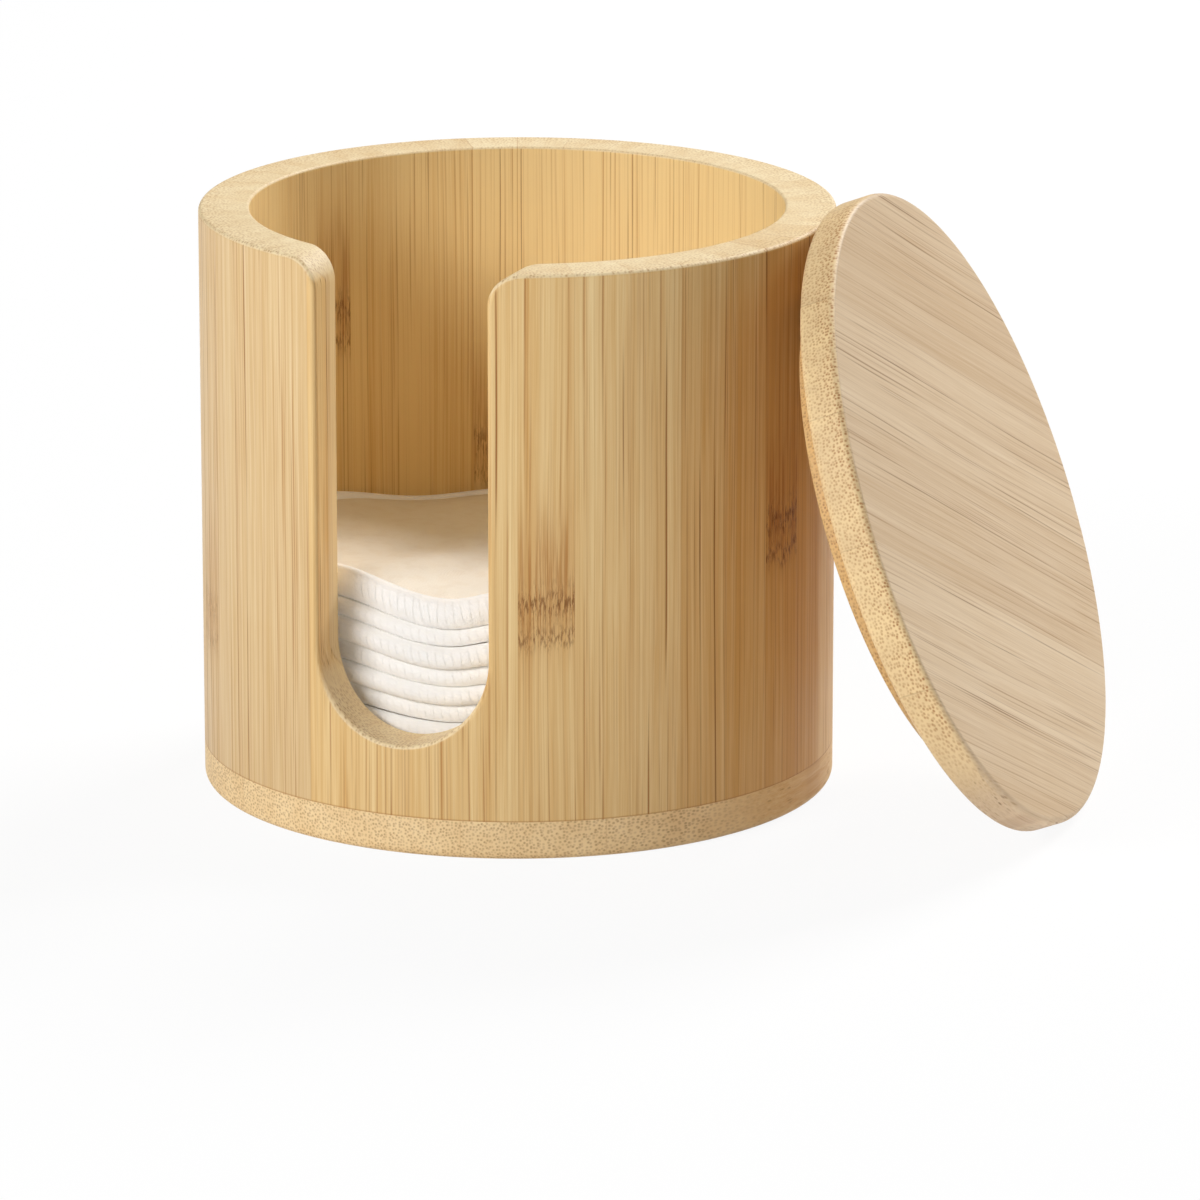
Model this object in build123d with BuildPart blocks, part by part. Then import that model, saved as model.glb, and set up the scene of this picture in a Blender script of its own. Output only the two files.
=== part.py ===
# Round bamboo container: a ring of glued staves with a U slot in front, a glued base,
# a loose lid leaning on its right side and a stack of cotton pads inside.
from build123d import *
import os
from math import asin, cos, degrees, radians, sin, tan

# Sizes in millimetres, angles in degrees. The slot faces -Y and the floor is Z = 0.

# Wall of staves
outer_diameter = 100.0
wall_thickness = 8.0
container_height = 92.4
stave_count = 36
front_stave_count = 5
outer_edge_round = 0.7
inner_edge_round = 0.5

# Slot in front
slot_width = 28.2
slot_bottom_height = 17.4
slot_corner_radius = 5.0

# Angles left beside the slot, at the outside of the wall, before the first stave joint on each side
slot_left_angle = 11.7
slot_right_angle = 5.5

# Base, with the places of the joints between its board strips as shares of its radius
base_thickness = 6.2
base_edge_round = 1.4
base_joint_shares = [-0.61, -0.2, 0.2, 0.61]

# Lid with its plug, and the joints between the lid's board strips as shares of its radius
lid_overhang = 1.0
lid_thickness = 5.9
lid_edge_round = 1.0
lid_grain_angle = -27.5
lid_joint_shares = [-0.73, -0.33, 0.07, 0.46, 0.86]
plug_clearance = 0.4
plug_height = 4.5
plug_edge_round = 0.6

# How the lid leans on the wall, and how far it has slid along it
lid_lean_angle = 21.0
lid_side_angle = 4.6
lid_side_shift = -1.7
lean_gap = 0.3

# Cotton pads
pad_count = 10
pad_clearance = 2.0
pad_thickness = 2.78
pad_gap = 0.3
pad_seam_inset = 2.4
pad_seam_thickness = 1.85

# Sideways shifts of the pads in the loose stack, as shares of their clearance in the bore
pad_shift_shares = [(0.1, -0.3), (-0.3, 0.1), (0.3, 0.2), (-0.1, -0.2), (0.2, 0.3), (-0.3, -0.1), (0.2, 0.1)]

overrun = 5.0

outer_radius = outer_diameter / 2
bore_radius = outer_radius - wall_thickness
lid_radius = outer_radius + lid_overhang
plug_radius = bore_radius - plug_clearance
pad_radius = bore_radius - pad_clearance

os.makedirs("parts", exist_ok=True)


def strip_edges(disc_radius, joint_shares):
    """Long edges of the board strips across a disc, from one side of the disc to the other."""
    return [-disc_radius] + [share * disc_radius for share in joint_shares] + [disc_radius]


# Ring of the wall before it is divided: turned tube, slot, rounded slot corners, eased edges
with BuildPart() as ring:
    with BuildSketch(Plane.XY.offset(base_thickness)):
        Circle(outer_radius)
        Circle(bore_radius, mode=Mode.SUBTRACT)
    extrude(amount=container_height - base_thickness)
    with BuildSketch(Plane.XZ):
        with Locations((0, slot_bottom_height + slot_width / 2)):
            Circle(slot_width / 2)
            Rectangle(slot_width, container_height, align=(Align.CENTER, Align.MIN))
    extrude(amount=outer_radius + overrun, mode=Mode.SUBTRACT)
    slot_corners = ring.edges().filter_by(Axis.Y).group_by(Axis.Z)[-1]
    fillet(slot_corners, radius=slot_corner_radius)
    rim_arcs = ring.faces().sort_by(Axis.Z)[-1].edges().filter_by(GeomType.CIRCLE)
    fillet(rim_arcs.group_by(SortBy.RADIUS)[-1], radius=outer_edge_round)
    rim_arcs = ring.faces().sort_by(Axis.Z)[-1].edges().filter_by(GeomType.CIRCLE)
    fillet(rim_arcs.group_by(SortBy.RADIUS)[0], radius=inner_edge_round)

# Staves: radial slices of the ring, counted from the left of the slot and round by the right.
# The joints are set out from the slot, so that it leaves no sliver of a stave beside it.
slot_edge_angle = degrees(asin(slot_width / outer_diameter))
left_joint_angle = -slot_edge_angle - slot_left_angle
right_joint_angle = slot_edge_angle + slot_right_angle
side_stave_count = stave_count - front_stave_count
front_stave_angle = (right_joint_angle - left_joint_angle) / front_stave_count
side_stave_angle = (360 + left_joint_angle - right_joint_angle) / side_stave_count
joint_angles = [left_joint_angle + step * front_stave_angle for step in range(front_stave_count)]
joint_angles += [right_joint_angle + step * side_stave_angle for step in range(side_stave_count + 1)]

for number in range(1, stave_count + 1):
    start, end = radians(joint_angles[number - 1]), radians(joint_angles[number])
    wedge_reach = outer_radius / cos((end - start) / 2) + overrun
    with BuildPart() as stave:
        add(ring.part)
        with BuildSketch(Plane.XY.offset(base_thickness)):
            with BuildLine():
                Polyline(
                    (0, 0),
                    (wedge_reach * sin(start), -wedge_reach * cos(start)),
                    (wedge_reach * sin(end), -wedge_reach * cos(end)),
                    close=True,
                )
            make_face()
        extrude(amount=container_height - base_thickness, mode=Mode.INTERSECT)
    stave.part.label = f"stave_{number:02d}"
    export_step(stave.part, f"parts/stave_{number:02d}.step")

# Base disc, with its lower edge rounded, in strips that run front to back
with BuildPart() as base_disc:
    with BuildSketch():
        Circle(outer_radius)
    extrude(amount=base_thickness)
    fillet(base_disc.edges().filter_by(GeomType.CIRCLE).sort_by(Axis.Z)[0], radius=base_edge_round)

base_edges = strip_edges(outer_radius, base_joint_shares)
for number in range(1, len(base_edges)):
    left, right = base_edges[number - 1], base_edges[number]
    with BuildPart() as base_strip:
        add(base_disc.part)
        with BuildSketch():
            with Locations(((left + right) / 2, 0)):
                Rectangle(right - left, outer_diameter)
        extrude(amount=base_thickness, mode=Mode.INTERSECT)
    base_strip.part.label = f"base_strip_{number}"
    export_step(base_strip.part, f"parts/base_strip_{number}.step")

# The lid stands on its lower edge and leans until an edge on its underside meets the wall
lean = radians(lid_lean_angle)
side = radians(lid_side_angle)
grain = radians(lid_grain_angle)
lid_height = (lid_radius - lid_edge_round) * cos(lean) + (lid_thickness - lid_edge_round) * sin(lean)
lid_height += lid_edge_round


def leaning_reach(edge_radius, edge_depth, edge_round):
    """Distance from the container's axis to the lid's centre when one round edge of the lid meets the wall."""
    inset = edge_radius - edge_round
    depth = edge_depth - edge_round
    edge_height = lid_height + inset * cos(lean) - depth * sin(lean)
    reach = outer_radius + lean_gap + inset * sin(lean) + depth * cos(lean) + edge_round
    return reach - max(0, edge_height - container_height) * tan(lean)


lid_reach = max(
    leaning_reach(plug_radius, lid_thickness + plug_height, plug_edge_round),
    leaning_reach(lid_radius, lid_thickness, lid_edge_round),
)
upward = Vector(0, 0, 1)
outward = Vector(cos(side), sin(side), 0)
along = Vector(-sin(side), cos(side), 0)
lid_rise = upward * cos(lean) - outward * sin(lean)
lid_plane = Plane(
    origin=outward * lid_reach + along * lid_side_shift + upward * lid_height,
    x_dir=along * cos(grain) + lid_rise * sin(grain),
    z_dir=outward * cos(lean) + upward * sin(lean),
)

# Lid disc with both edges rounded, in strips along its grain
with BuildPart() as lid_disc:
    with BuildSketch(lid_plane):
        Circle(lid_radius)
    extrude(amount=-lid_thickness)
    fillet(lid_disc.edges().filter_by(GeomType.CIRCLE), radius=lid_edge_round)

lid_edges = strip_edges(lid_radius, lid_joint_shares)
for number in range(1, len(lid_edges)):
    low, high = lid_edges[number - 1], lid_edges[number]
    with BuildPart() as lid_strip:
        add(lid_disc.part)
        with BuildSketch(lid_plane):
            with Locations((0, (low + high) / 2)):
                Rectangle(2 * lid_radius, high - low)
        extrude(amount=-lid_thickness, mode=Mode.INTERSECT)
    lid_strip.part.label = f"lid_strip_{number}"
    export_step(lid_strip.part, f"parts/lid_strip_{number}.step")

# Plug glued under the lid, which drops into the bore
with BuildPart() as lid_plug:
    with BuildSketch(lid_plane.offset(-lid_thickness)):
        Circle(plug_radius)
    extrude(amount=-plug_height)
    plug_edges = lid_plug.edges().filter_by(GeomType.CIRCLE)
    fillet(plug_edges.sort_by(Axis(lid_plane.origin, lid_plane.z_dir))[0], radius=plug_edge_round)
lid_plug.part.label = "lid_plug"
export_step(lid_plug.part, "parts/lid_plug.step")

# Cotton pads: crowned on both faces, drawn in at a sewn line, with a round bead outside it
seam_radius = pad_radius - pad_seam_inset
for number in range(1, pad_count + 1):
    shift = pad_shift_shares[(number - 1) % len(pad_shift_shares)]
    middle = base_thickness + pad_gap + (number - 1) * (pad_thickness + pad_gap) + pad_thickness / 2
    pad_centre = Vector(shift[0] * pad_clearance, shift[1] * pad_clearance, middle)
    pad_axis = Axis(pad_centre, (0, 0, 1))
    with BuildPart() as pad:
        with BuildSketch(Plane(origin=pad_centre, x_dir=(1, 0, 0), z_dir=(0, -1, 0))):
            with BuildLine():
                top = (0, pad_thickness / 2)
                bottom = (0, -pad_thickness / 2)
                upper_seam = (seam_radius, pad_seam_thickness / 2)
                lower_seam = (seam_radius, -pad_seam_thickness / 2)
                TangentArc(top, upper_seam, tangent=(1, 0))
                ThreePointArc(upper_seam, (pad_radius, 0), lower_seam)
                TangentArc(bottom, lower_seam, tangent=(1, 0))
                Line(bottom, top)
            make_face()
        revolve(axis=pad_axis)
    pad.part.label = f"cotton_pad_{number}"
    export_step(pad.part, f"parts/cotton_pad_{number}.step")
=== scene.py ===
import math
import bpy
from mathutils import Matrix, Vector, noise


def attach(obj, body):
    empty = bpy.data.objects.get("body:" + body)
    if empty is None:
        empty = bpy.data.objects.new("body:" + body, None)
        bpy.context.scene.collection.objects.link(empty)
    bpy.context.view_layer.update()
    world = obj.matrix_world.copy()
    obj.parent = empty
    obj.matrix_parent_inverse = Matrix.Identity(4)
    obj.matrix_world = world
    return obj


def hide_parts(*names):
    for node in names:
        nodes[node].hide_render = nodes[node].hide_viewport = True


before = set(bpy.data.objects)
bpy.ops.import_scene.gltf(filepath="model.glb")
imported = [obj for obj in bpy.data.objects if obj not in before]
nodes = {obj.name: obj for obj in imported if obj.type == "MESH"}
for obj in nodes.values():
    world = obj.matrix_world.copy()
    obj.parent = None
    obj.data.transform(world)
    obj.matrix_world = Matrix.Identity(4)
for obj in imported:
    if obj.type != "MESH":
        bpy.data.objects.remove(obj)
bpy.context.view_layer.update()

scene = bpy.context.scene
perMetre = 1000.0  # millimetres in a metre
white = (1.0, 1.0, 1.0, 1.0)
upward = Vector((0, 0, 1))


# small helpers for node trees; an input is named by its label, or by its number where labels repeat

def tint(red, green, blue):  # a colour as seen on screen, 0 to 255
    def straight(value):
        value = value / 255
        return value / 12.92 if value <= 0.04045 else ((value + 0.055) / 1.055) ** 2.4
    return (straight(red), straight(green), straight(blue), 1.0)


def feed(tree, socket, value):
    if isinstance(value, bpy.types.NodeSocket):
        tree.links.new(value, socket)
    elif value is not None:
        socket.default_value = value


def put(tree, kind, values=None, **settings):
    node = tree.nodes.new(kind)
    for key, value in settings.items():
        setattr(node, key, value)
    for label, value in (values or {}).items():
        feed(tree, node.inputs[label], value)
    return node


def calc(tree, operation, *values, clamp=False):
    node = put(tree, "ShaderNodeMath", dict(enumerate(values)), operation=operation, use_clamp=clamp)
    return node.outputs[0]


def plus(tree, first, second, clamp=False):
    return calc(tree, "ADD", first, second, clamp=clamp)


def minus(tree, first, second):
    return calc(tree, "SUBTRACT", first, second)


def times(tree, first, second, clamp=False):
    return calc(tree, "MULTIPLY", first, second, clamp=clamp)


def step(tree, value, low, high, start=0.0, end=1.0):  # a soft step from low to high
    values = dict(enumerate((value, low, high, start, end)))
    return put(tree, "ShaderNodeMapRange", values, interpolation_type="SMOOTHSTEP").outputs[0]


def vectors(tree, operation, first, second):
    return put(tree, "ShaderNodeVectorMath", {0: first, 1: second}, operation=operation).outputs


def stretch(tree, place, scale):
    return vectors(tree, "MULTIPLY", place, scale)[0]


def addUp(tree, first, second):
    return vectors(tree, "ADD", first, second)[0]


def centred(tree, colour):  # a noise's colour as a vector about nought
    return vectors(tree, "SUBTRACT", colour, (0.5, 0.5, 0.5))[0]


def parts(tree, vector):
    return put(tree, "ShaderNodeSeparateXYZ", {0: vector}).outputs


def whole(tree, x, y, z):
    return put(tree, "ShaderNodeCombineXYZ", {0: x, 1: y, 2: z}).outputs[0]


def inMillimetres(tree, place):
    return stretch(tree, place, (perMetre, perMetre, perMetre))


def cloud(tree, place, scale, detail, roughness):
    values = {"Vector": place, "Scale": scale, "Detail": detail, "Roughness": roughness}
    return put(tree, "ShaderNodeTexNoise", values).outputs[0]


def dye(tree, share, first, second, how="MIX"):
    values = {0: share, 6: first, 7: second}
    return put(tree, "ShaderNodeMix", values, data_type="RGBA", blend_type=how).outputs[2]


def newGroup(name, inputs, outputs):
    group = bpy.data.node_groups.new(name, "ShaderNodeTree")
    for label, kind, value in inputs:
        socket = group.interface.new_socket(label, in_out="INPUT", socket_type="NodeSocket" + kind)
        if value is not None:
            socket.default_value = value
    for label, kind in outputs:
        group.interface.new_socket(label, in_out="OUTPUT", socket_type="NodeSocket" + kind)
    return group, group.nodes.new("NodeGroupInput").outputs, group.nodes.new("NodeGroupOutput").inputs


def useGroup(tree, group, values):
    return put(tree, "ShaderNodeGroup", values, node_tree=group).outputs


surfaceOutputs = [("Colour", "Color"), ("Roughness", "Float"), ("Height", "Float")]


def newMaterial(name):
    material = bpy.data.materials.new(name)
    material.use_nodes = True
    return material, material.node_tree


def finishSurface(tree, surface, finish):  # a group's colour, roughness and height to the material's shader
    shader = tree.nodes["Principled BSDF"]
    bump = put(tree, "ShaderNodeBump", {
        "Strength": finish["bumpStrength"], "Distance": finish["bumpHeight"], "Height": surface["Height"]})
    values = {"Base Color": surface["Colour"], "Roughness": surface["Roughness"], "Normal": bump.outputs["Normal"]}
    for label, value in {**values, **finish["shader"]}.items():
        feed(tree, shader.inputs[label], value)


# bamboo, as a solid: fibre bundles that run along the cane, so a face cut along them shows
# lines and a face cut across them shows dots; places are in millimetres: across, depth, along

fibre = {
    "seedSteps": (13.7, 7.9, 29.3),  # how far one seed moves the pattern
    "driftScale": (0.06, 0.06, 0.012), "drift": (1.4, 1.4, 0.0),  # the bundles wander a little along the cane
    "scatter": 0.85,
    "line": (0.5, 0.12), "dot": (0.55, 0.12),  # from a bundle's edge to its core, as shares of its cell
    # noises drawn out along the cane: scale, detail, roughness
    "noises": {
        "Hair": ((5.5, 5.5, 0.06), 2.0, 0.6),
        "Stripe": ((1.5, 1.5, 0.008), 3.0, 0.6),
        "Band": ((0.3, 0.2, 0.008), 2.0, 0.5),
        "Run": ((1.6, 1.6, 0.025), 2.0, 0.55),
    },
}
knuckle = {
    "seedStep": 5.3, "waveScale": (0.4, 0.2, 0.0), "waveDetail": 2.0, "waveRoughness": 0.5, "wave": 5.0,
    "rings": [(0.0, 2.6, 1.0), (5.4, 1.7, 0.95)],  # offset along the cane, width, strength
    "halos": [(1.0, 6.0, 1.0), (-5.0, 9.0, 0.8)],
    # noises: scale, detail, roughness, and where they turn from nothing to full
    "flecks": ((2.9, 1.1, 0.5), 4.0, 0.65, (0.46, 0.6)),
    "strands": ((2.8, 1.0, 0.05), 3.0, 0.6, (0.44, 0.6)),
}
bamboo = {
    "endFacing": (0.2, 0.62),  # how squarely a face cuts the cane when it turns to end grain
    "pithSide": (46.0, 43.0), "pithLines": 0.7,  # the inner side of a stave is paler, with fainter lines
    "band": 0.7, "stripe": 1.4, "hair": 0.7,
    "faintLine": 0.15, "lineContrast": 2.0, "run": (0.34, 0.62), "faintRun": 0.1,
    "rareRank": (0.86, 0.97), "rareDepth": 0.3,
    "halo": 0.38, "haloFibre": 0.5, "streak": 0.75, "mark": 0.85, "markDark": 0.62,
    "sparseDots": 0.55, "denseDots": 1.15, "faintDot": 0.35, "endTone": 0.4, "endBand": 0.7,
    "rubbed": 1.2, "glueWidth": (0.16, 0.03), "footWidth": (0.3, 0.08), "footDepth": 0.55,
    "handledScale": (0.06, 0.06, 0.05), "handledDetail": 3.0, "handledRoughness": 0.55,
    "handled": (0.5, 0.75), "handledDepth": 0.1,
    "roughness": 0.46, "hairRough": 0.25, "handledRough": 0.25, "endRough": 0.12, "lineRough": 0.12,
    "hairHeight": 0.6, "lineHeight": 0.5, "markHeight": 0.8, "dotHeight": 0.7, "glueHeight": 0.8,
    "finish": {"bumpStrength": 0.35, "bumpHeight": 0.00012, "shader": {"Specular IOR Level": 0.3}},
}


def makeEndShare():
    group, given, out = newGroup("endGrainShare", [("Cane", "Vector", (0, 0, 1))], [("Share", "Float")])
    normal = put(group, "ShaderNodeNewGeometry").outputs["Normal"]
    facing = vectors(group, "DOT_PRODUCT", normal, given["Cane"])["Value"]
    feed(group, out["Share"], step(group, calc(group, "ABSOLUTE", facing), *bamboo["endFacing"]))
    return group


def makeRoundPlace():
    group, given, out = newGroup(
        "roundPlace", [("Turned", "Vector", None), ("Mean radius", "Float", 46.0)], [("Place", "Vector")])
    x, y, z = parts(group, given["Turned"])
    angle = calc(group, "ARCTAN2", x, times(group, y, -1.0))
    radius = calc(group, "SQRT", plus(group, times(group, x, x), times(group, y, y)))
    feed(group, out["Place"], whole(
        group, times(group, angle, given["Mean radius"]), times(group, radius, perMetre), times(group, z, perMetre)))
    return group


def makeFibres():
    group, given, out = newGroup(
        "fibreBundles",
        [("Place", "Vector", None), ("Pitch", "Float", 0.5), ("Dot pitch", "Float", 0.5), ("Seed", "Float", 0.0)],
        [(label, "Float") for label in ("Bundle", "Rank", "Dot", "Dot rank", *fibre["noises"])])
    shift = whole(group, *(times(group, given["Seed"], size) for size in fibre["seedSteps"]))
    place = addUp(group, given["Place"], shift)
    drift = put(group, "ShaderNodeTexNoise", {
        "Vector": stretch(group, place, fibre["driftScale"]), "Scale": 1.0, "Detail": 1.0})
    place = addUp(group, place, stretch(group, centred(group, drift.outputs["Color"]), fibre["drift"]))
    for mark, rank, pitch, reach in (("Bundle", "Rank", "Pitch", "line"), ("Dot", "Dot rank", "Dot pitch", "dot")):
        cells = put(group, "ShaderNodeTexVoronoi", {
            "Vector": place, "Scale": calc(group, "DIVIDE", 1.0, given[pitch]), "Randomness": fibre["scatter"],
        }, voronoi_dimensions="2D").outputs
        feed(group, out[mark], step(group, cells["Distance"], *fibre[reach]))
        feed(group, out[rank], put(group, "ShaderNodeSeparateColor", {0: cells["Color"]}).outputs[0])
    for label, (scale, detail, roughness) in fibre["noises"].items():
        feed(group, out[label], cloud(group, stretch(group, place, scale), 1.0, detail, roughness))
    return group


def makeKnuckle():
    group, given, out = newGroup(
        "caneKnuckle",
        [("Place", "Vector", None), ("Height", "Float", 40.0), ("Strength", "Float", 0.0), ("Seed", "Float", 0.0)],
        [("Mark", "Float"), ("Streak", "Float"), ("Halo", "Float")])
    along = parts(group, given["Place"])["Z"]
    shifted = addUp(group, given["Place"], whole(group, times(group, given["Seed"], knuckle["seedStep"]), 0.0, 0.0))
    wave = cloud(
        group, stretch(group, shifted, knuckle["waveScale"]), 1.0, knuckle["waveDetail"], knuckle["waveRoughness"])
    wave = times(group, minus(group, wave, 0.5), knuckle["wave"])
    away = plus(group, minus(group, along, given["Height"]), wave)

    def bell(offset, width, strength):
        ratio = calc(group, "DIVIDE", plus(group, away, offset), width)
        return times(group, calc(group, "EXPONENT", times(group, times(group, ratio, ratio), -1.0)), strength)

    def grain(scale, detail, roughness, reach):
        return step(group, cloud(group, stretch(group, shifted, scale), 1.0, detail, roughness), *reach)

    rings = calc(group, "MAXIMUM", *(bell(*row) for row in knuckle["rings"]))
    halo = calc(group, "MAXIMUM", *(bell(*row) for row in knuckle["halos"]))
    halo = times(group, halo, given["Strength"])
    mark = times(group, rings, grain(*knuckle["flecks"]))
    feed(group, out["Mark"], times(group, mark, given["Strength"]))
    feed(group, out["Streak"], times(group, halo, grain(*knuckle["strands"])))
    feed(group, out["Halo"], halo)
    return group


def makeBamboo(fibres, knuckles):
    colours = ("Pale", "Honey", "Fibre", "Dark", "End pale", "End dot", "Inside")
    values = {
        "End share": 0.0, "Seed": 0.0, "Tone": 0.4, "Pitch": 0.5, "Dot pitch": 0.5, "Pith": 0.0,
        "Line depth": 0.5, "Dot depth": 0.6, "Stripes": 1.0, "Sparse depth": 0.0, "Dense depth": 1.0,
        "Knuckle height": 40.0, "Knuckle": 0.0, "Foot": -500.0,
        "Low side": -4.0, "High side": 4.0, "Joint depth": 0.3,
    }
    group, given, out = newGroup(
        "bambooWood",
        [("Place", "Vector", None)] + [(label, "Color", white) for label in colours]
        + [(label, "Float", value) for label, value in values.items()],
        surfaceOutputs)
    grain = useGroup(group, fibres, {label: given[label] for label in ("Place", "Pitch", "Dot pitch", "Seed")})
    node = useGroup(group, knuckles, {
        "Place": given["Place"], "Height": given["Knuckle height"], "Strength": given["Knuckle"],
        "Seed": given["Seed"]})
    across, depth, along = parts(group, given["Place"])
    endShare = given["End share"]

    def about(value, share):  # a noise about its middle, times a share
        return times(group, minus(group, value, 0.5), share)

    def rising(value, least):  # from least to 1 as the value goes from 0 to 1
        return plus(group, least, times(group, value, 1.0 - least))

    def stain(colour, share, amount, second):
        return dye(group, times(group, share, amount, clamp=True), colour, second)

    # long grain: tone of the strip, slow bands, stripes and hair, then the bundles as lines
    inner = step(group, depth, *bamboo["pithSide"])
    tone = minus(group, given["Tone"], times(group, inner, given["Pith"]))
    tone = plus(group, tone, about(grain["Band"], bamboo["band"]))
    tone = plus(group, tone, times(group, about(grain["Stripe"], bamboo["stripe"]), given["Stripes"]))
    tone = plus(group, tone, about(grain["Hair"], bamboo["hair"]), clamp=True)
    long = dye(group, tone, given["Pale"], given["Honey"])
    # painted light: the inner side of the wall is made a little brighter and yellower, standing in for light inside
    # the tube
    long = dye(group, inner, long, given["Inside"], "MULTIPLY")
    strong = rising(calc(group, "POWER", grain["Rank"], bamboo["lineContrast"]), bamboo["faintLine"])
    runs = step(group, grain["Run"], *bamboo["run"], bamboo["faintRun"], 1.0)
    lineDepth = times(group, given["Line depth"], step(group, depth, *bamboo["pithSide"], 1.0, bamboo["pithLines"]))
    line = times(group, times(group, grain["Bundle"], strong), runs)
    line = times(group, line, lineDepth, clamp=True)
    long = dye(group, line, long, given["Fibre"])
    rare = times(group, step(group, grain["Rank"], *bamboo["rareRank"]), times(group, grain["Bundle"], runs))
    long = stain(long, rare, times(group, given["Line depth"], bamboo["rareDepth"]), given["Dark"])
    long = stain(
        long, node["Halo"], bamboo["halo"], dye(group, bamboo["haloFibre"], given["Honey"], given["Fibre"]))
    long = stain(long, node["Streak"], bamboo["streak"], given["Fibre"])
    long = stain(long, node["Mark"], bamboo["mark"], dye(group, bamboo["markDark"], given["Fibre"], given["Dark"]))

    # end grain: pale pith with a dot for each bundle, closer set towards the skin of the cane
    thick = step(
        group, depth, given["Sparse depth"], given["Dense depth"], bamboo["sparseDots"], bamboo["denseDots"])
    endTone = times(group, given["Tone"], bamboo["endTone"])
    endTone = plus(group, endTone, about(grain["Band"], bamboo["endBand"]), clamp=True)
    ends = dye(group, endTone, given["End pale"], given["Honey"])
    dot = times(group, grain["Dot"], given["Dot depth"])
    dot = times(group, dot, rising(grain["Dot rank"], bamboo["faintDot"]))
    dot = times(group, dot, thick, clamp=True)
    ends = dye(group, dot, ends, given["End dot"])
    colour = dye(group, endShare, long, ends)

    # eased edges rubbed a little paler
    rubbed = times(group, endShare, minus(group, 1.0, endShare))
    colour = stain(colour, rubbed, bamboo["rubbed"], given["End pale"])

    # glue lines beside the next strip and over the base
    edge = calc(group, "MINIMUM", minus(group, across, given["Low side"]), minus(group, given["High side"], across))
    glue = times(group, step(group, edge, *bamboo["glueWidth"]), given["Joint depth"])
    overFoot = calc(group, "ABSOLUTE", minus(group, along, given["Foot"]))
    foot = times(group, step(group, overFoot, *bamboo["footWidth"]), bamboo["footDepth"])
    glue = calc(group, "MAXIMUM", glue, foot)
    colour = dye(group, glue, colour, given["Fibre"])

    # handling leaves the surface a little uneven in colour and shine
    handled = cloud(
        group, stretch(group, given["Place"], bamboo["handledScale"]), 1.0,
        bamboo["handledDetail"], bamboo["handledRoughness"])
    worn = step(group, handled, *bamboo["handled"], 0.0, bamboo["handledDepth"])
    feed(group, out["Colour"], dye(group, worn, colour, given["Honey"]))
    rough = plus(group, about(grain["Hair"], bamboo["hairRough"]), about(handled, bamboo["handledRough"]))
    rough = plus(group, bamboo["roughness"], rough)
    rough = plus(group, rough, times(group, endShare, bamboo["endRough"]))
    feed(group, out["Roughness"], plus(group, rough, times(group, line, bamboo["lineRough"]), clamp=True))

    # lines, marks, dots and glue lie a little lower than the hair between them
    height = times(group, grain["Hair"], bamboo["hairHeight"])
    for mark, low in ((line, "lineHeight"), (node["Mark"], "markHeight"),
                      (times(group, dot, endShare), "dotHeight"), (glue, "glueHeight")):
        height = minus(group, height, times(group, mark, bamboo[low]))
    feed(group, out["Height"], height)
    return group


endGrainShare = makeEndShare()
roundPlace = makeRoundPlace()
fibreBundles = makeFibres()
caneKnuckle = makeKnuckle()
bambooWood = makeBamboo(fibreBundles, caneKnuckle)
print("bamboo node groups made")


def woodMaterial(name, placeOf, cane, look):
    material, tree = newMaterial(name)
    objectPlace = put(tree, "ShaderNodeTexCoord").outputs["Object"]
    share = useGroup(tree, endGrainShare, {"Cane": cane})["Share"]
    wood = useGroup(tree, bambooWood, {"Place": placeOf(tree, objectPlace), "End share": share, **look})
    finishSurface(tree, wood, bamboo["finish"])
    return material


def dress(node, material):
    node.material_slots[0].material = material


# the coopered wall: 36 staves of ten degrees, counted from the left of the slot and round by the right

stave = {
    "count": 36, "firstAngle": -28.08, "stepAngle": 10.0, "meanRadius": 46.0,
    # the strips' tones differ at random, but staves 9 to 12, beside the lid, are darker: painted shade of the lid on
    # the wall's right side
    "tones": [0.48, 0.45, 0.45, 0.4, 0.4, 0.5, 0.35, 0.4, 0.6, 0.75, 0.9, 0.8,
              0.4, 0.4, 0.35, 0.45, 0.35, 0.35, 0.4, 0.35, 0.4, 0.45, 0.4, 0.15,
              0.7, 0.55, 0.65, 0.6, 0.6, 0.55, 0.45, 0.5, 0.5, 0.52, 0.45, 0.5],
    # staves with a knuckle: its height above the table and its strength
    "knuckles": {6: (41.0, 1.0), 11: (49.0, 1.3), 34: (31.0, 0.6), 28: (68.0, 0.9), 24: (43.0, 0.7),
                 16: (58.0, 0.9), 20: (25.0, 0.7), 31: (71.0, 0.8)},
    "noKnuckle": (40.0, 0.0),
    "seams": {11: 0.6, 24: 0.5},  # staves with darker glue lines
    "look": {
        "Pale": tint(243, 214, 158), "Honey": tint(216, 168, 98), "Fibre": tint(178, 118, 56),
        "Dark": tint(92, 52, 22), "End pale": tint(255, 235, 192), "End dot": tint(182, 134, 78),
        # the inside colour is painted light: it makes the inner side of the wall a little brighter and yellower
        "Inside": (1.03, 1.025, 0.97, 1.0), "Pitch": 0.44, "Dot pitch": 0.5, "Line depth": 0.95,
        "Dot depth": 0.58, "Joint depth": 0.15, "Pith": 0.55, "Foot": 6.2,
        "Sparse depth": 42.0, "Dense depth": 50.0,
    },
    "washedBySheen": {"Pale": tint(236, 210, 164), "Honey": tint(210, 170, 110)},  # painted sheen: the left side's staves, where the key light falls, get paler, less saturated colours
    "washedBySheenStaves": (1, 33, 34, 35, 36),
}


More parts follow.
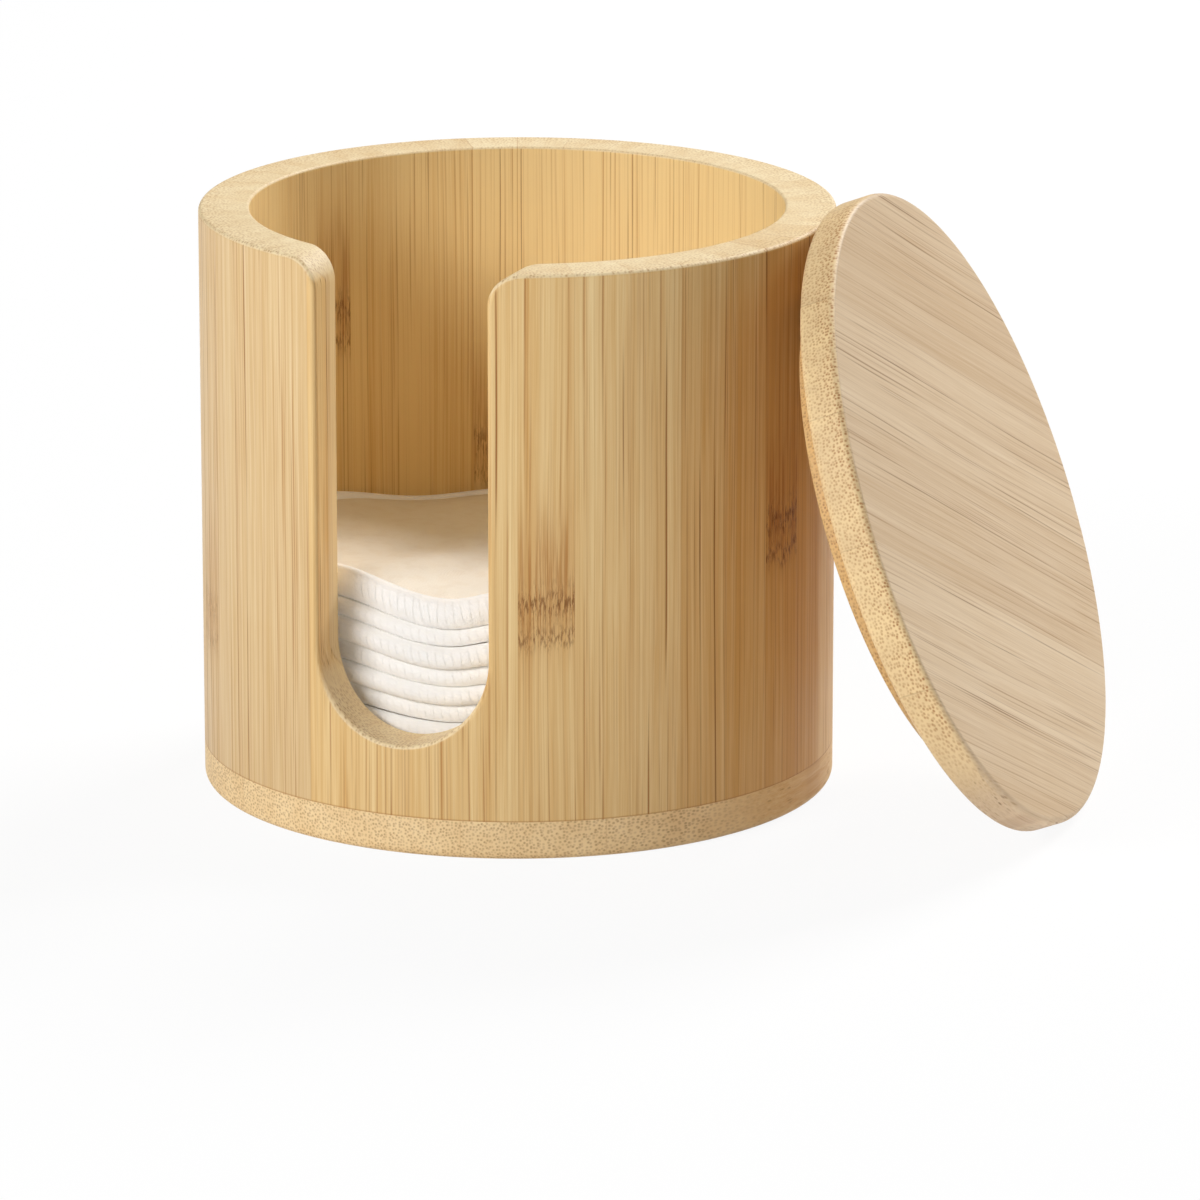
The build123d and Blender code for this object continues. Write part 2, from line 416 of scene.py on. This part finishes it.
def staveMaterial(number):
    middle = stave["firstAngle"] + (number - 0.5) * stave["stepAngle"]
    height, strength = stave["knuckles"].get(number, stave["noKnuckle"])
    half = math.radians(stave["stepAngle"] / 2) * stave["meanRadius"]

    def stavePlace(tree, objectPlace):
        turned = put(tree, "ShaderNodeMapping", {
            "Vector": objectPlace, "Rotation": (0.0, 0.0, -math.radians(middle))}).outputs[0]
        return useGroup(tree, roundPlace, {"Turned": turned, "Mean radius": stave["meanRadius"]})["Place"]

    look = {
        **stave["look"], "Seed": float(number), "Tone": stave["tones"][number - 1],
        "Knuckle height": height, "Knuckle": strength, "Low side": -half, "High side": half,
        "Joint depth": stave["seams"].get(number, stave["look"]["Joint depth"]),
    }
    # painted sheen: paler, less saturated colours on the left side's staves
    if number in stave["washedBySheenStaves"]:
        look.update(stave["washedBySheen"])
    return woodMaterial(f"bambooStave{number:02d}", stavePlace, (0, 0, 1), look)


for number in range(1, stave["count"] + 1):
    dress(nodes[f"stave_{number:02d}"], staveMaterial(number))
print("staves dressed:", stave["count"])


# flat boards have no pith side and no foot, and their strips lie side by side

boardLook = {**stave["look"], "Inside": white, "Pith": 0.0, "Foot": -500.0}


def dressStrips(piece, nodeName, materialName, placeOf, cane):
    for number, tone in enumerate(piece["tones"], 1):
        look = {**piece["look"], "Seed": piece["seed"] + number, "Tone": tone,
                "Low side": piece["joints"][number - 1], "High side": piece["joints"][number]}
        dress(nodes[f"{nodeName}_{number}"], woodMaterial(f"{materialName}{number}", placeOf, cane, look))


# the base board: five strips whose fibres run from front to back

base = {
    "joints": [-50.0, -30.5, -10.0, 10.0, 30.5, 50.0], "tones": [0.3, 0.25, 0.35, 0.3, 0.4], "seed": 50.0,
    "look": {
        **boardLook, "End pale": tint(251, 223, 174), "End dot": tint(158, 110, 60), "Dot depth": 0.52,
        "Line depth": 0.6, "Sparse depth": -20.0, "Dense depth": 2.0,
    },
}


def basePlace(tree, objectPlace):
    x, y, z = parts(tree, inMillimetres(tree, objectPlace))
    return whole(tree, x, z, y)


dressStrips(base, "base_strip", "bambooBase", basePlace, (0, 1, 0))
print("base dressed")


# the lid, leaning on the wall: strips and plug share the lid's own place and grain

lid = {
    "sideAngle": 4.6, "leanAngle": 21.0, "grainAngle": -27.5, "reach": 74.742, "height": 49.435, "slid": -1.7,
    "thickness": 5.9, "joints": [-51.0, -37.23, -16.83, 3.57, 23.46, 43.86, 51.0],
    "tones": [0.45, 0.3, 0.5, 0.35, 0.55, 0.4], "seed": 70.0,
}
lid["look"] = {
    **boardLook, "Pale": tint(236, 212, 178), "Honey": tint(206, 172, 130), "Fibre": tint(158, 112, 70),
    "End pale": tint(248, 218, 165), "End dot": tint(172, 106, 46), "Pitch": 0.42, "Dot depth": 0.78,
    "Stripes": 0.6, "Joint depth": 0.25, "Sparse depth": -lid["thickness"], "Dense depth": 0.0,
}
plug = {"thickness": 4.5, "pastEdge": 60.0, "tone": 0.6, "seed": 81.0}
plug["look"] = {
    **lid["look"], "End pale": tint(228, 186, 122), "End dot": tint(140, 82, 34), "Dot depth": 1.0,
    "Sparse depth": -lid["thickness"] - plug["thickness"], "Dense depth": -lid["thickness"],
    "Seed": plug["seed"], "Tone": plug["tone"], "Low side": -plug["pastEdge"], "High side": plug["pastEdge"],
}

sideTurn, lean, grainTurn = (math.radians(lid[key]) for key in ("sideAngle", "leanAngle", "grainAngle"))
outward = Vector((math.cos(sideTurn), math.sin(sideTurn), 0.0))
sideways = Vector((-math.sin(sideTurn), math.cos(sideTurn), 0.0))
lidNormal = outward * math.cos(lean) + upward * math.sin(lean)
lidRise = upward * math.cos(lean) - outward * math.sin(lean)
lidGrain = sideways * math.cos(grainTurn) + lidRise * math.sin(grainTurn)
lidAcross = lidNormal.cross(lidGrain)
lidCentre = (outward * lid["reach"] + sideways * lid["slid"] + upward * lid["height"]) / perMetre
lidTurn = Matrix((lidGrain, lidAcross, lidNormal)).transposed().to_euler()


def lidPlace(tree, objectPlace):
    turned = put(tree, "ShaderNodeMapping", {
        "Vector": objectPlace, "Location": lidCentre, "Rotation": lidTurn}, vector_type="TEXTURE")
    x, y, z = parts(tree, inMillimetres(tree, turned.outputs[0]))
    return whole(tree, y, z, x)


dressStrips(lid, "lid_strip", "bambooLid", lidPlace, lidGrain)
dress(nodes["lid_plug"], woodMaterial("bambooPlug", lidPlace, lidGrain, plug["look"]))
print("lid dressed")


# cotton pads: two layers blown up as cloth between their sewn lines, in three versions turned about

pad = {
    "count": 10, "radius": 40.0, "thickness": 2.78, "gap": 0.3, "baseTop": 6.2,
    "seamInset": 2.4, "seamThickness": 1.85, "clearance": 2.0,
    "shifts": [(0.1, -0.3), (-0.3, 0.1), (0.3, 0.2), (-0.1, -0.2), (0.2, 0.3), (-0.3, -0.1), (0.2, 0.1)],
    "cells": 56, "versions": 3, "turn": 47.0,
    "puff": 0.15, "ripple": 0.25, "rippleScale": 5, "versionStep": 7.3, "seamPull": 6,
    "blowUp": 20.0, "frames": 20,  # the cloth is simulated at twenty times its size
    "fabric": {
        "quality": 6, "mass": 0.2, "tension_stiffness": 12.0, "compression_stiffness": 12.0,
        "shear_stiffness": 5.0, "bending_stiffness": 0.3, "use_pressure": True, "uniform_pressure_force": 2.5,
        "shrink_min": -0.025, "vertex_group_mass": "seam",
    },
    "frontLift": 2.0,  # how much thicker the top pad is at the slot, where nothing presses it
    "frontLoft": 1.4, "backLoft": 0.3,  # how far its upper side swells, at the slot and at the back
    "dimple": 0.7, "dimpleSize": 13.0, "dimpleSeed": 40.0, "topGain": 2.5, "loftPower": 8,
    # how the stack rises and sinks round its edge: angle from the slot, millimetres
    "waves": [(-180, -0.5), (-156, -0.9), (-138, -1.5), (-100, 2.9), (-70, 1.8), (-24, 2.4), (5, -1.05),
              (20, 1.0), (42, 0.1), (75, -0.3), (110, 0.3), (150, 0.1), (180, -0.5)],
    "wavePower": 4,
    # how far the upper side of the base and of each pad is off, from the base up
    "tops": [0, 0, 0.05, -0.05, 0.1, 0.0, -0.05, -0.1, 0.4, 0.0, 0.0],
    # the cloth is a little warmer than the thread: partly the cotton's own unbleached tone, partly painted shade on
    # the top pad's upper side
    "cloth": {"cloth": tint(251, 244, 232), "weaveShadeAndLint": tint(238, 226, 207), "weave": 0.42, "glow": 0.0},
    # the thread's glow is painted light that makes the white edges brighter
    "thread": {"cloth": tint(255, 254, 252), "weaveShadeAndLint": tint(252, 248, 242), "weave": 0.25, "glow": 0.05},
}
padSeam = pad["radius"] - pad["seamInset"]


def padHalf(reach):  # half the pad's thickness at a reach from its middle, millimetres
    drop = (pad["thickness"] - pad["seamThickness"]) / 2
    ball = (padSeam * padSeam + drop * drop) / (2 * drop)
    return pad["thickness"] / 2 - ball + math.sqrt(ball * ball - min(reach, padSeam) ** 2)


def padGrid(version):
    side = pad["cells"] + 1
    layerSize = side * side
    wide = pad["rippleScale"]
    points, faces = [], []
    for layer in (1, -1):
        for row in range(side):
            for column in range(side):
                u, v = 2 * column / pad["cells"] - 1, 2 * row / pad["cells"] - 1
                x, y = u * math.sqrt(1 - v * v / 2), v * math.sqrt(1 - u * u / 2)
                free = 1 - max(abs(u), abs(v)) ** pad["seamPull"]
                spot = Vector((wide * x, wide * y, pad["versionStep"] * version + layer))
                ripple = pad["ripple"] * noise.noise(spot)
                height = pad["seamThickness"] / 2 + free * (pad["puff"] + ripple)
                points.append((padSeam * x, padSeam * y, layer * height))
    for row in range(pad["cells"]):
        for column in range(pad["cells"]):
            corner = row * side + column
            upper = (corner, corner + 1, corner + side + 1, corner + side)
            faces.append(upper)
            faces.append(tuple(each + layerSize for each in reversed(upper)))
    loop = list(range(side)) + [row * side + side - 1 for row in range(1, side)]
    loop += [layerSize - 1 - column for column in range(1, side)]
    loop += [(side - 1 - row) * side for row in range(1, side - 1)]
    for first, second in zip(loop, loop[1:] + loop[:1]):
        faces.append((second, first, first + layerSize, second + layerSize))
    return points, faces, loop + [corner + layerSize for corner in loop]


def meshAsShown(holder):
    return bpy.data.meshes.new_from_object(holder.evaluated_get(bpy.context.evaluated_depsgraph_get()))


def blowUpPad(version):
    points, faces, seam = padGrid(version)
    scale = pad["blowUp"] / perMetre
    mesh = bpy.data.meshes.new("padCloth")
    mesh.from_pydata([Vector(point) * scale for point in points], [], faces)
    holder = bpy.data.objects.new("padCloth", mesh)
    scene.collection.objects.link(holder)
    holder.vertex_groups.new(name="seam").add(seam, 1.0, "REPLACE")
    cloth = holder.modifiers.new("cloth", "CLOTH")
    cloth.point_cache.frame_start, cloth.point_cache.frame_end = 1, pad["frames"]
    for key, value in pad["fabric"].items():
        setattr(cloth.settings, key, value)
    cloth.settings.effector_weights.gravity = 0.0
    cloth.collision_settings.use_collision = False
    for moment in range(1, pad["frames"] + 1):
        scene.frame_set(moment)
    blown = meshAsShown(holder)
    result = [vertex.co / scale for vertex in blown.vertices]
    bpy.data.objects.remove(holder)
    bpy.data.meshes.remove(blown)
    scene.frame_set(1)
    return result, faces


def padWave(angle):
    for (low, first), (high, second) in zip(pad["waves"], pad["waves"][1:]):
        if low <= angle <= high:
            share = (angle - low) / (high - low)
            return first + (second - first) * (0.5 - 0.5 * math.cos(math.pi * share))


def placeInBore(number, point):  # where a point of pad number lies across the bore
    turn = math.radians(pad["turn"] * number)
    shift = pad["shifts"][(number - 1) % len(pad["shifts"])]
    x = point[0] * math.cos(turn) - point[1] * math.sin(turn) + shift[0] * pad["clearance"]
    y = point[0] * math.sin(turn) + point[1] * math.cos(turn) + shift[1] * pad["clearance"]
    return x, y


def towardsSlot(y):  # 1 at the slot, 0 at the back
    return max(0.0, 0.5 - y / (2 * pad["radius"])) ** 2


def settle(number, point):  # a point of pad number, given about the pad's middle, to its place in the stack
    x, y = placeInBore(number, point)
    reach = math.hypot(x, y) / pad["radius"]
    wave = padWave(math.degrees(math.atan2(x, -y))) * reach ** pad["wavePower"]
    pitch = pad["thickness"] + pad["gap"]
    share = 0.5 + point[2] / pitch
    height = pad["gap"] + (number - 1) * pitch + pad["thickness"] / 2 + point[2]
    height += pad["tops"][number - 1] * (1 - share) + pad["tops"][number] * share
    if number == pad["count"]:
        height += pad["frontLift"] * towardsSlot(y) * share
    height *= 1 + wave / (pitch * pad["count"])  # the whole stack stretches and sinks together
    return Vector((x, y, pad["baseTop"] + height)) / perMetre


def newPiece(mesh):
    piece = bpy.data.objects.new(mesh.name, mesh)
    scene.collection.objects.link(piece)
    return piece


def padPiece(number, blown, faces):
    points = []
    for point in blown:
        reach = math.hypot(point.x, point.y)
        limit = padHalf(reach)
        loft, gain = 0.0, 1.0
        if number == pad["count"]:
            towards = towardsSlot(placeInBore(number, point)[1])
            loft = pad["backLoft"] + (pad["frontLoft"] - pad["backLoft"]) * towards
            spot = Vector((point.x, point.y, pad["dimpleSeed"])) / pad["dimpleSize"]
            loft += pad["dimple"] * noise.noise(spot)
            loft *= 1 - (reach / padSeam) ** pad["loftPower"]
            gain = pad["topGain"]
        height = min(point.z * gain, limit + loft) if point.z > 0 else max(point.z, -limit)
        points.append(settle(number, (point.x, point.y, height)))
    mesh = bpy.data.meshes.new(f"cottonPad{number:02d}")
    mesh.from_pydata(points, [], faces)
    mesh.shade_smooth()
    return newPiece(mesh)


# the bead round a pad's edge and the overlock threads wrapped over it

padEdge = {
    "ring": 38.43, "bead": 1.53, "thread": 0.045, "stitches": 186, "lean": 0.22, "uneven": 0.03,
    "beadRound": 0.85, "beadCorners": 3, "unevenScale": 700.0,
    "threadSides": 3, "threadSteps": 8, "threadOut": 0.4, "wrapAngle": 124, "leastLean": 0.2, "mostLean": 1.8,
}


def makeEdgeTree():
    tree = bpy.data.node_groups.new("sewnPadEdge", "GeometryNodeTree")
    for label, kind in (("Ring", "Float"), ("Bead", "Float"), ("Thread", "Float"), ("Stitches", "Int"),
                        ("Lean", "Float"), ("Uneven", "Float"), ("Seed", "Int"), ("Cloth", "Material")):
        tree.interface.new_socket(label, in_out="INPUT", socket_type="NodeSocket" + kind)
    tree.interface.new_socket("Geometry", in_out="OUTPUT", socket_type="NodeSocketGeometry")
    given = tree.nodes.new("NodeGroupInput").outputs

    def shape(kind, values):
        return put(tree, "GeometryNode" + kind, values).outputs[0]

    # the bead: a square with rounded corners swept round the ring, a little uneven
    ring = shape("CurvePrimitiveCircle", {"Resolution": given["Stitches"], "Radius": given["Ring"]})
    across = times(tree, given["Bead"], 2.0)
    square = shape("CurvePrimitiveQuadrilateral", {"Width": across, "Height": across})
    section = put(tree, "GeometryNodeFilletCurve", mode="POLY")
    for label, value in (("Curve", square), ("Count", padEdge["beadCorners"]),
                         ("Radius", times(tree, given["Bead"], padEdge["beadRound"]))):
        feed(tree, section.inputs[label], value)
    bead = shape("CurveToMesh", {"Curve": ring, "Profile Curve": section.outputs[0]})
    ripple = put(tree, "ShaderNodeTexNoise", {
        "Scale": padEdge["unevenScale"], "W": given["Seed"]}, noise_dimensions="4D")
    push = put(tree, "ShaderNodeVectorMath", {
        0: centred(tree, ripple.outputs["Color"]), "Scale": given["Uneven"]}, operation="SCALE")
    bead = shape("SetPosition", {"Geometry": bead, "Offset": push.outputs[0]})

    # one thread, bent round the bead and stood upright
    thick = shape("CurvePrimitiveCircle", {"Resolution": padEdge["threadSides"], "Radius": given["Thread"]})
    arc = shape("CurveArc", {
        "Resolution": padEdge["threadSteps"],
        "Radius": plus(tree, given["Bead"], times(tree, given["Thread"], padEdge["threadOut"])),
        "Start Angle": math.radians(-padEdge["wrapAngle"] / 2), "Sweep Angle": math.radians(padEdge["wrapAngle"])})
    thread = shape("CurveToMesh", {"Curve": arc, "Profile Curve": thick})
    upright = shape("Transform", {"Geometry": thread, "Rotation": (math.radians(90), 0.0, 0.0)})

    # a thread at each stitch, each with its own lean
    place = parts(tree, tree.nodes.new("GeometryNodeInputPosition").outputs[0])
    leans = put(tree, "FunctionNodeRandomValue", {"Seed": given["Seed"]})
    limits = [socket for socket in leans.inputs if socket.type == "VALUE"]
    for socket, key in zip(limits, ("leastLean", "mostLean")):
        feed(tree, socket, times(tree, given["Lean"], padEdge[key]))
    leanValue = [socket for socket in leans.outputs if socket.type == "VALUE"][0]
    spin = whole(tree, leanValue, 0.0, calc(tree, "ARCTAN2", place[1], place[0]))
    aim = put(tree, "FunctionNodeEulerToRotation", {"Euler": spin}).outputs[0]
    stitches = shape("InstanceOnPoints", {"Points": ring, "Instance": upright, "Rotation": aim})

    joined = put(tree, "GeometryNodeJoinGeometry")
    for each in (stitches, bead):
        feed(tree, joined.inputs[0], each)
    real = shape("RealizeInstances", {"Geometry": joined.outputs[0]})
    smooth = shape("SetShadeSmooth", {"Geometry": real})
    finished = shape("SetMaterial", {"Geometry": smooth, "Material": given["Cloth"]})
    feed(tree, tree.nodes.new("NodeGroupOutput").inputs[0], finished)
    return tree


def padEdgePiece(number, tree, material):
    holder = bpy.data.objects.new("padEdgeRule", bpy.data.meshes.new("padEdgeRule"))
    scene.collection.objects.link(holder)
    rule = holder.modifiers.new("sewnPadEdge", "NODES")
    rule.node_group = tree
    values = {label: padEdge[label.lower()] / perMetre for label in ("Ring", "Bead", "Thread", "Uneven")}
    values.update({"Stitches": padEdge["stitches"], "Lean": padEdge["lean"], "Seed": number, "Cloth": material})
    for item in tree.interface.items_tree:
        if item.in_out == "INPUT":
            rule[item.identifier] = values[item.name]
    mesh = meshAsShown(holder)
    mesh.name = f"padEdge{number:02d}"
    bpy.data.objects.remove(holder)
    for vertex in mesh.vertices:
        vertex.co = settle(number, vertex.co * perMetre)
    return newPiece(mesh)


# brushed cotton: a soft weave under a nap, with painted shade in the gaps of the weave, and lint a little darker

cotton = {
    "bendScale": 0.12, "bendDetail": 2.0, "bendRoughness": 0.5, "bend": 2.0,
    "nap": (2.6, 4.0, 0.7), "lint": (0.35, 3.0, 0.6), "worn": (0.42, 0.7),
    "weaveShade": 0.16, "wornShade": 0.3, "napShade": 0.5,
    "roughness": 0.82, "napRough": 0.15, "weaveHeight": 0.45,
    "finish": {
        "bumpStrength": 0.4, "bumpHeight": 0.0002,
        "shader": {
            "Specular IOR Level": 0.15, "Sheen Weight": 0.25,
            "Emission Color": tint(255, 245, 228),  # painted light: a faint glow that makes the thread whiter than the lamps light it
            "Subsurface Weight": 0.5, "Subsurface Radius": (1.0, 1.0, 1.0), "Subsurface Scale": 0.0012,
        },
    },
}


def makeCotton():
    group, given, out = newGroup(
        "cottonCloth",
        [("Place", "Vector", None), ("Cloth", "Color", white), ("Weave shade and lint", "Color", white), ("Weave", "Float", 0.42)],
        surfaceOutputs)
    place = inMillimetres(group, given["Place"])
    x, y, z = parts(group, place)
    bend = cloud(group, place, cotton["bendScale"], cotton["bendDetail"], cotton["bendRoughness"])
    bend = times(group, minus(group, bend, 0.5), cotton["bend"])
    rate = calc(group, "DIVIDE", 2 * math.pi, given["Weave"])

    def threads(value):
        wave = calc(group, "SINE", times(group, plus(group, value, bend), rate))
        return plus(group, 0.5, times(group, wave, 0.5))

    weave = times(group, threads(x), threads(y))
    nap = cloud(group, place, *cotton["nap"])
    worn = step(group, cloud(group, place, *cotton["lint"]), *cotton["worn"])
    # painted shade: the gaps between the threads of the weave are darker
    shade = times(group, minus(group, 1.0, weave), cotton["weaveShade"])
    shade = plus(group, shade, times(group, worn, cotton["wornShade"]))
    shade = plus(group, shade, times(group, minus(group, nap, 0.5), cotton["napShade"]), clamp=True)
    feed(group, out["Colour"], dye(group, shade, given["Cloth"], given["Weave shade and lint"]))
    rough = plus(group, cotton["roughness"], times(group, nap, cotton["napRough"]), clamp=True)
    feed(group, out["Roughness"], rough)
    feed(group, out["Height"], plus(group, times(group, weave, cotton["weaveHeight"]), nap))
    return group


def cottonMaterial(name, group, look):
    material, tree = newMaterial(name)
    surface = useGroup(tree, group, {
        "Place": put(tree, "ShaderNodeTexCoord").outputs["Object"],
        "Cloth": look["cloth"], "Weave shade and lint": look["weaveShadeAndLint"], "Weave": look["weave"]})
    finishSurface(tree, surface, cotton["finish"])
    # painted light: the thread glows a little
    tree.nodes["Principled BSDF"].inputs["Emission Strength"].default_value = look["glow"]
    return material


cottonCloth = makeCotton()
padCloth = cottonMaterial("brushedCotton", cottonCloth, pad["cloth"])
padThread = cottonMaterial("cottonThread", cottonCloth, pad["thread"])
edgeTree = makeEdgeTree()
versions = [blowUpPad(version) for version in range(pad["versions"])]
print("pads blown up, highest points:", [round(max(point.z for point in blown), 2) for blown, faces in versions])
for number in range(1, pad["count"] + 1):
    soft = padPiece(number, *versions[number % pad["versions"]])
    soft.data.materials.append(padCloth)
    edge = padEdgePiece(number, edgeTree, padThread)
    for piece in (soft, edge):
        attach(piece, f"pad_{number}")
    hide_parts(f"cotton_pad_{number}")
print("pads in place:", pad["count"])


# floor, light and camera

stageSet = {
    "floorSize": 6.0, "floorColour": 0.95, "floorGlow": 0.92, "world": 0.15,
    "lampAim": (0.02, 0.0, 0.045),
    "key": {"azimuth": -24.0, "elevation": 26.0, "distance": 1.3, "size": (0.6, 0.35), "power": 10.7},
    "fill": {"azimuth": 159.0, "elevation": 39.0, "distance": 1.4, "size": (0.7, 0.5), "power": 20.0},
}
shot = {
    "sensor": 36.0, "lens": 249.07, "distance": 1.317954, "azimuth": 21.4, "elevation": 15.286,
    "sideways": 0.012938, "height": 0.027956, "nearest": 0.01, "furthest": 50.0,
}


def makeFloor():
    mesh = bpy.data.meshes.new("floor")
    half = stageSet["floorSize"] / 2
    corners = [(-half, -half, 0), (half, -half, 0), (half, half, 0), (-half, half, 0)]
    mesh.from_pydata(corners, [], [(0, 1, 2, 3)])
    floor = newPiece(mesh)
    material, tree = newMaterial("paleFloor")
    tree.nodes.remove(tree.nodes["Principled BSDF"])
    paper = put(tree, "ShaderNodeBsdfDiffuse", {"Color": (stageSet["floorColour"],) * 3 + (1.0,)})
    glow = put(tree, "ShaderNodeEmission")
    light = put(tree, "ShaderNodeLightPath").outputs
    seen = calc(tree, "MAXIMUM", light["Is Camera Ray"], light["Is Glossy Ray"])
    mix = put(tree, "ShaderNodeMixShader", {
        0: times(tree, seen, stageSet["floorGlow"]), 1: paper.outputs[0], 2: glow.outputs[0]})
    feed(tree, tree.nodes["Material Output"].inputs["Surface"], mix.outputs[0])
    mesh.materials.append(material)


def wayTo(values):  # from the part towards a lamp or the camera
    azimuth, elevation = math.radians(values["azimuth"]), math.radians(values["elevation"])
    level = math.cos(elevation)
    return Vector((math.sin(azimuth) * level, -math.cos(azimuth) * level, math.sin(elevation)))


def makeLamp(name):
    values = stageSet[name]
    lamp = bpy.data.lights.new(name, "AREA")
    lamp.shape = "RECTANGLE"
    lamp.size, lamp.size_y = values["size"]
    lamp.energy = values["power"]
    way = wayTo(values)
    holder = bpy.data.objects.new(name, lamp)
    holder.location = way * values["distance"] + Vector(stageSet["lampAim"])
    holder.rotation_euler = way.to_track_quat("Z", "Y").to_euler()
    scene.collection.objects.link(holder)


def makeWorld():
    world = bpy.data.worlds.new("softRoom")
    world.use_nodes = True
    tree = world.node_tree
    background = tree.nodes["Background"]
    light = put(tree, "ShaderNodeLightPath").outputs
    seen = calc(tree, "MAXIMUM", light["Is Camera Ray"], light["Is Transmission Ray"])
    strength = plus(tree, stageSet["world"], times(tree, seen, 1.0 - stageSet["world"]))
    feed(tree, background.inputs["Strength"], strength)
    background.inputs["Color"].default_value = white
    scene.world = world


def makeCamera():
    camera = bpy.data.objects.new("camera", bpy.data.cameras.new("camera"))
    scene.collection.objects.link(camera)
    camera.data.sensor_width = shot["sensor"]
    camera.data.lens = shot["lens"]
    azimuth = math.radians(shot["azimuth"])
    aim = Vector((math.cos(azimuth), math.sin(azimuth), 0.0)) * shot["sideways"] + upward * shot["height"]
    back = wayTo(shot)
    camera.location = aim + back * shot["distance"]
    camera.rotation_euler = back.to_track_quat("Z", "Y").to_euler()
    camera.data.clip_start, camera.data.clip_end = shot["nearest"], shot["furthest"]
    scene.camera = camera


makeFloor()
makeLamp("key")
makeLamp("fill")
makeWorld()
makeCamera()
scene.view_settings.view_transform = "Standard"
print("stage set")
